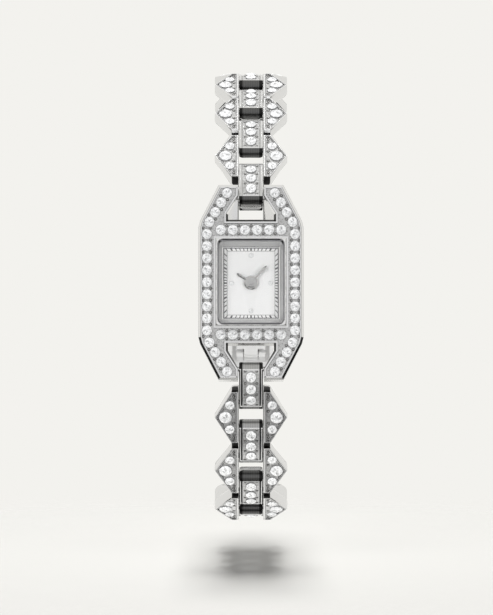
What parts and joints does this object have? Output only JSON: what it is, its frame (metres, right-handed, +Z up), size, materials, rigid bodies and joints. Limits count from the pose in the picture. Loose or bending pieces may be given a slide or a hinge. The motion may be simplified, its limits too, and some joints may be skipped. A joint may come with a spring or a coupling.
{
  "type": "bracelet wristwatch",
  "caption": "Jewelled wristwatch: long rectangular stone-set case, white dial with two hands, hinged bracelet of centre links and three-cornered wing plates, folding clasp.",
  "frame": {"origin": "centre of the case back's flat face, the face that lies on the wrist", "axes": "+X to the viewer's right, +Y from the dial towards the wrist, +Z up towards twelve o'clock; the dial faces -Y"},
  "size_m": [0.015, 0.0509, 0.065],
  "materials": {
    "case_metal": "polished",
    "stones": "faceted",
    "bright_metal": "polished",
    "ring_metal": "satin",
    "glass": "polished",
    "seal": "satin",
    "dial_white": "matt white",
    "hands": "polished",
    "movement_brass": "satin",
    "coil": "lacquered copper wire",
    "cell": "satin",
    "strap_brass": "satin",
    "steel": "polished",
    "crown_metal": "brushed",
    "link_metal": "polished",
    "clasp_metal": "polished with brushed faces"
  },
  "bodies": {
    "root": {"case_frame": "case_metal", "case_stones": "stones", "bezel": "bright_metal", "dial_ring": "ring_metal", "crystal": "glass", "crystal_gasket": "seal", "dial": "dial_white", "dial_markers": "stones", "movement_holder": "seal", "movement": "movement_brass", "motor_coil": "coil", "battery": "cell", "battery_strap": "strap_brass", "case_back": "bright_metal", "case_back_gasket": "seal", "case_back_screws": "steel", "lug_pins": "bright_metal"},
    "hour_hand": {"hour_hand": "hands"},
    "minute_hand": {"minute_hand": "hands"},
    "setting_stem": {"setting_stem": "steel"},
    "crown": {"crown": "crown_metal"},
    "top_centre_1": {"top_centre_1": "link_metal"},
    "top_wings_1": {"top_wings_1": "link_metal"},
    "top_centre_2": {"top_centre_2": "link_metal"},
    "top_wings_2": {"top_wings_2": "link_metal"},
    "top_centre_3": {"top_centre_3": "link_metal"},
    "top_wings_3": {"top_wings_3": "link_metal"},
    "top_centre_4": {"top_centre_4": "link_metal"},
    "top_wings_4": {"top_wings_4": "link_metal"},
    "top_centre_5": {"top_centre_5": "link_metal"},
    "top_wings_5": {"top_wings_5": "link_metal"},
    "top_centre_6": {"top_centre_6": "link_metal"},
    "top_wings_6": {"top_wings_6": "link_metal"},
    "top_centre_7": {"top_centre_7": "link_metal"},
    "top_wings_7": {"top_wings_7": "link_metal"},
    "bottom_centre_1": {"bottom_centre_1": "link_metal"},
    "bottom_wings_1": {"bottom_wings_1": "link_metal"},
    "bottom_centre_2": {"bottom_centre_2": "link_metal"},
    "bottom_wings_2": {"bottom_wings_2": "link_metal"},
    "bottom_centre_3": {"bottom_centre_3": "link_metal"},
    "bottom_wings_3": {"bottom_wings_3": "link_metal"},
    "bottom_centre_4": {"bottom_centre_4": "link_metal"},
    "bottom_wings_4": {"bottom_wings_4": "link_metal"},
    "bottom_centre_5": {"bottom_centre_5": "link_metal"},
    "bottom_wings_5": {"bottom_wings_5": "link_metal"},
    "bottom_centre_6": {"bottom_centre_6": "link_metal"},
    "bottom_wings_6": {"bottom_wings_6": "link_metal"},
    "bottom_centre_7": {"bottom_centre_7": "link_metal"},
    "bottom_wings_7": {"bottom_wings_7": "link_metal"},
    "clasp_inner_blade": {"clasp_inner_blade": "clasp_metal", "clasp_stud": "steel"},
    "clasp_long_blade": {"clasp_long_blade": "clasp_metal", "blade_hinge_pin": "steel"},
    "clasp_cover": {"clasp_cover": "clasp_metal", "cover_hinge_pin": "steel", "spring_bar": "steel"}
  },
  "joints": [
    {"name": "top_centre_1_hinge", "type": "hinge", "parent": "root", "child": "top_centre_1", "pos_m": [0, -0.003, 0.0123], "axis": [1, 0, 0], "range_deg": [0, 37]},
    {"name": "top_wings_1_hinge", "type": "hinge", "parent": "top_centre_1", "child": "top_wings_1", "pos_m": [0, -0.00015, 0.01653], "axis": [1, 0, 0], "range_deg": [0, 6]},
    {"name": "top_centre_2_hinge", "type": "hinge", "parent": "top_wings_1", "child": "top_centre_2", "pos_m": [0, 0.0022, 0.01964], "axis": [1, 0, 0], "range_deg": [0, 8]},
    {"name": "top_wings_2_hinge", "type": "hinge", "parent": "top_centre_2", "child": "top_wings_2", "pos_m": [0, 0.00561, 0.02343], "axis": [1, 0, 0], "range_deg": [0, 11]},
    {"name": "top_centre_3_hinge", "type": "hinge", "parent": "top_wings_2", "child": "top_centre_3", "pos_m": [0, 0.0086, 0.02594], "axis": [1, 0, 0], "range_deg": [0, 11]},
    {"name": "top_wings_3_hinge", "type": "hinge", "parent": "top_centre_3", "child": "top_wings_3", "pos_m": [0, 0.01292, 0.02864], "axis": [1, 0, 0], "range_deg": [0, 5]},
    {"name": "top_centre_4_hinge", "type": "hinge", "parent": "top_wings_3", "child": "top_centre_4", "pos_m": [0, 0.0163, 0.03059], "axis": [1, 0, 0], "range_deg": [0, 21]},
    {"name": "top_wings_4_hinge", "type": "hinge", "parent": "top_centre_4", "child": "top_wings_4", "pos_m": [0, 0.02129, 0.03165], "axis": [1, 0, 0], "range_deg": [0, 15]},
    {"name": "top_centre_5_hinge", "type": "hinge", "parent": "top_wings_4", "child": "top_centre_5", "pos_m": [0, 0.02519, 0.03165], "axis": [1, 0, 0], "range_deg": [0, 21]},
    {"name": "top_wings_5_hinge", "type": "hinge", "parent": "top_centre_5", "child": "top_wings_5", "pos_m": [0, 0.03004, 0.03008], "axis": [1, 0, 0], "range_deg": [0, 20]},
    {"name": "top_centre_6_hinge", "type": "hinge", "parent": "top_wings_5", "child": "top_centre_6", "pos_m": [0, 0.03324, 0.02784], "axis": [1, 0, 0], "range_deg": [0, 20]},
    {"name": "top_wings_6_hinge", "type": "hinge", "parent": "top_centre_6", "child": "top_wings_6", "pos_m": [0, 0.03638, 0.02382], "axis": [1, 0, 0], "range_deg": [0, 6]},
    {"name": "top_centre_7_hinge", "type": "hinge", "parent": "top_wings_6", "child": "top_centre_7", "pos_m": [0, 0.03861, 0.02063], "axis": [1, 0, 0], "range_deg": [0, 5]},
    {"name": "top_wings_7_hinge", "type": "hinge", "parent": "top_centre_7", "child": "top_wings_7", "pos_m": [0, 0.04139, 0.01635], "axis": [1, 0, 0], "range_deg": [0, 19]},
    {"name": "bottom_centre_1_hinge", "type": "hinge", "parent": "root", "child": "bottom_centre_1", "pos_m": [0, -0.003, -0.0123], "axis": [-1, 0, 0], "range_deg": [0, 32]},
    {"name": "bottom_wings_1_hinge", "type": "hinge", "parent": "bottom_centre_1", "child": "bottom_wings_1", "pos_m": [0, -0.00053, -0.01676], "axis": [-1, 0, 0], "range_deg": [0, 6]},
    {"name": "bottom_centre_2_hinge", "type": "hinge", "parent": "bottom_wings_1", "child": "bottom_centre_2", "pos_m": [0, 0.00154, -0.02007], "axis": [-1, 0, 0], "range_deg": [0, 12]},
    {"name": "bottom_wings_2_hinge", "type": "hinge", "parent": "bottom_centre_2", "child": "bottom_wings_2", "pos_m": [0, 0.00489, -0.02392], "axis": [-1, 0, 0], "range_deg": [0, 6]},
    {"name": "bottom_centre_3_hinge", "type": "hinge", "parent": "bottom_wings_2", "child": "bottom_centre_3", "pos_m": [0, 0.00759, -0.02672], "axis": [-1, 0, 0], "range_deg": [0, 20]},
    {"name": "bottom_wings_3_hinge", "type": "hinge", "parent": "bottom_centre_3", "child": "bottom_wings_3", "pos_m": [0, 0.01205, -0.02919], "axis": [-1, 0, 0], "range_deg": [0, 15]},
    {"name": "bottom_centre_4_hinge", "type": "hinge", "parent": "bottom_wings_3", "child": "bottom_centre_4", "pos_m": [0, 0.01578, -0.03034], "axis": [-1, 0, 0], "range_deg": [0, 31]},
    {"name": "bottom_wings_4_hinge", "type": "hinge", "parent": "bottom_centre_4", "child": "bottom_wings_4", "pos_m": [0, 0.02079, -0.02936], "axis": [-1, 0, 0], "range_deg": [0, 5]},
    {"name": "bottom_centre_5_hinge", "type": "hinge", "parent": "bottom_wings_4", "child": "bottom_centre_5", "pos_m": [0, 0.02459, -0.02848], "axis": [-1, 0, 0], "range_deg": [0, 5]},
    {"name": "bottom_wings_5_hinge", "type": "hinge", "parent": "bottom_centre_5", "child": "bottom_wings_5", "pos_m": [0, 0.02952, -0.02716], "axis": [-1, 0, 0], "range_deg": [0, 5]},
    {"name": "bottom_centre_6_hinge", "type": "hinge", "parent": "bottom_wings_5", "child": "bottom_centre_6", "pos_m": [0, 0.03325, -0.02602], "axis": [-1, 0, 0], "range_deg": [0, 18]},
    {"name": "bottom_wings_6_hinge", "type": "hinge", "parent": "bottom_centre_6", "child": "bottom_wings_6", "pos_m": [0, 0.03757, -0.02332], "axis": [-1, 0, 0], "range_deg": [0, 20]},
    {"name": "bottom_centre_7_hinge", "type": "hinge", "parent": "bottom_wings_6", "child": "bottom_centre_7", "pos_m": [0, 0.04013, -0.02038], "axis": [-1, 0, 0], "range_deg": [0, 15]},
    {"name": "bottom_wings_7_hinge", "type": "hinge", "parent": "bottom_centre_7", "child": "bottom_wings_7", "pos_m": [0, 0.0426, -0.01592], "axis": [-1, 0, 0], "range_deg": [0, 20]},
    {"name": "clasp_inner_blade_hinge", "type": "hinge", "parent": "top_wings_7", "child": "clasp_inner_blade", "pos_m": [0, 0.04253, 0.01262], "axis": [1, 0, 0], "range_deg": [0, 18]},
    {"name": "clasp_long_blade_hinge", "type": "hinge", "parent": "clasp_inner_blade", "child": "clasp_long_blade", "pos_m": [0, 0.04318, -0.00561], "axis": [-1, 0, 0], "range_deg": [0, 90]},
    {"name": "clasp_cover_hinge", "type": "hinge", "parent": "clasp_long_blade", "child": "clasp_cover", "pos_m": [0, 0.04318, 0.00784], "axis": [1, 0, 0], "range_deg": [0, 80]},
    {"name": "minute_hand_turn", "type": "hinge", "parent": "root", "child": "minute_hand", "pos_m": [0, 0, 0], "axis": [0, 1, 0], "continuous": true},
    {"name": "hour_hand_turn", "type": "hinge", "parent": "root", "child": "hour_hand", "pos_m": [0, 0, 0], "axis": [0, 1, 0], "continuous": true},
    {"name": "setting_stem_pull", "type": "slide", "parent": "root", "child": "setting_stem", "axis": [0, 1, 0], "range_m": [0, 0.0005]},
    {"name": "crown_turn", "type": "hinge", "parent": "setting_stem", "child": "crown", "pos_m": [0, 0, -0.0043], "axis": [0, 1, 0], "continuous": true}
  ],
  "couplings": [
    {"joint": "hour_hand_turn", "follows": "minute_hand_turn", "ratio": 0.083333}
  ]
}
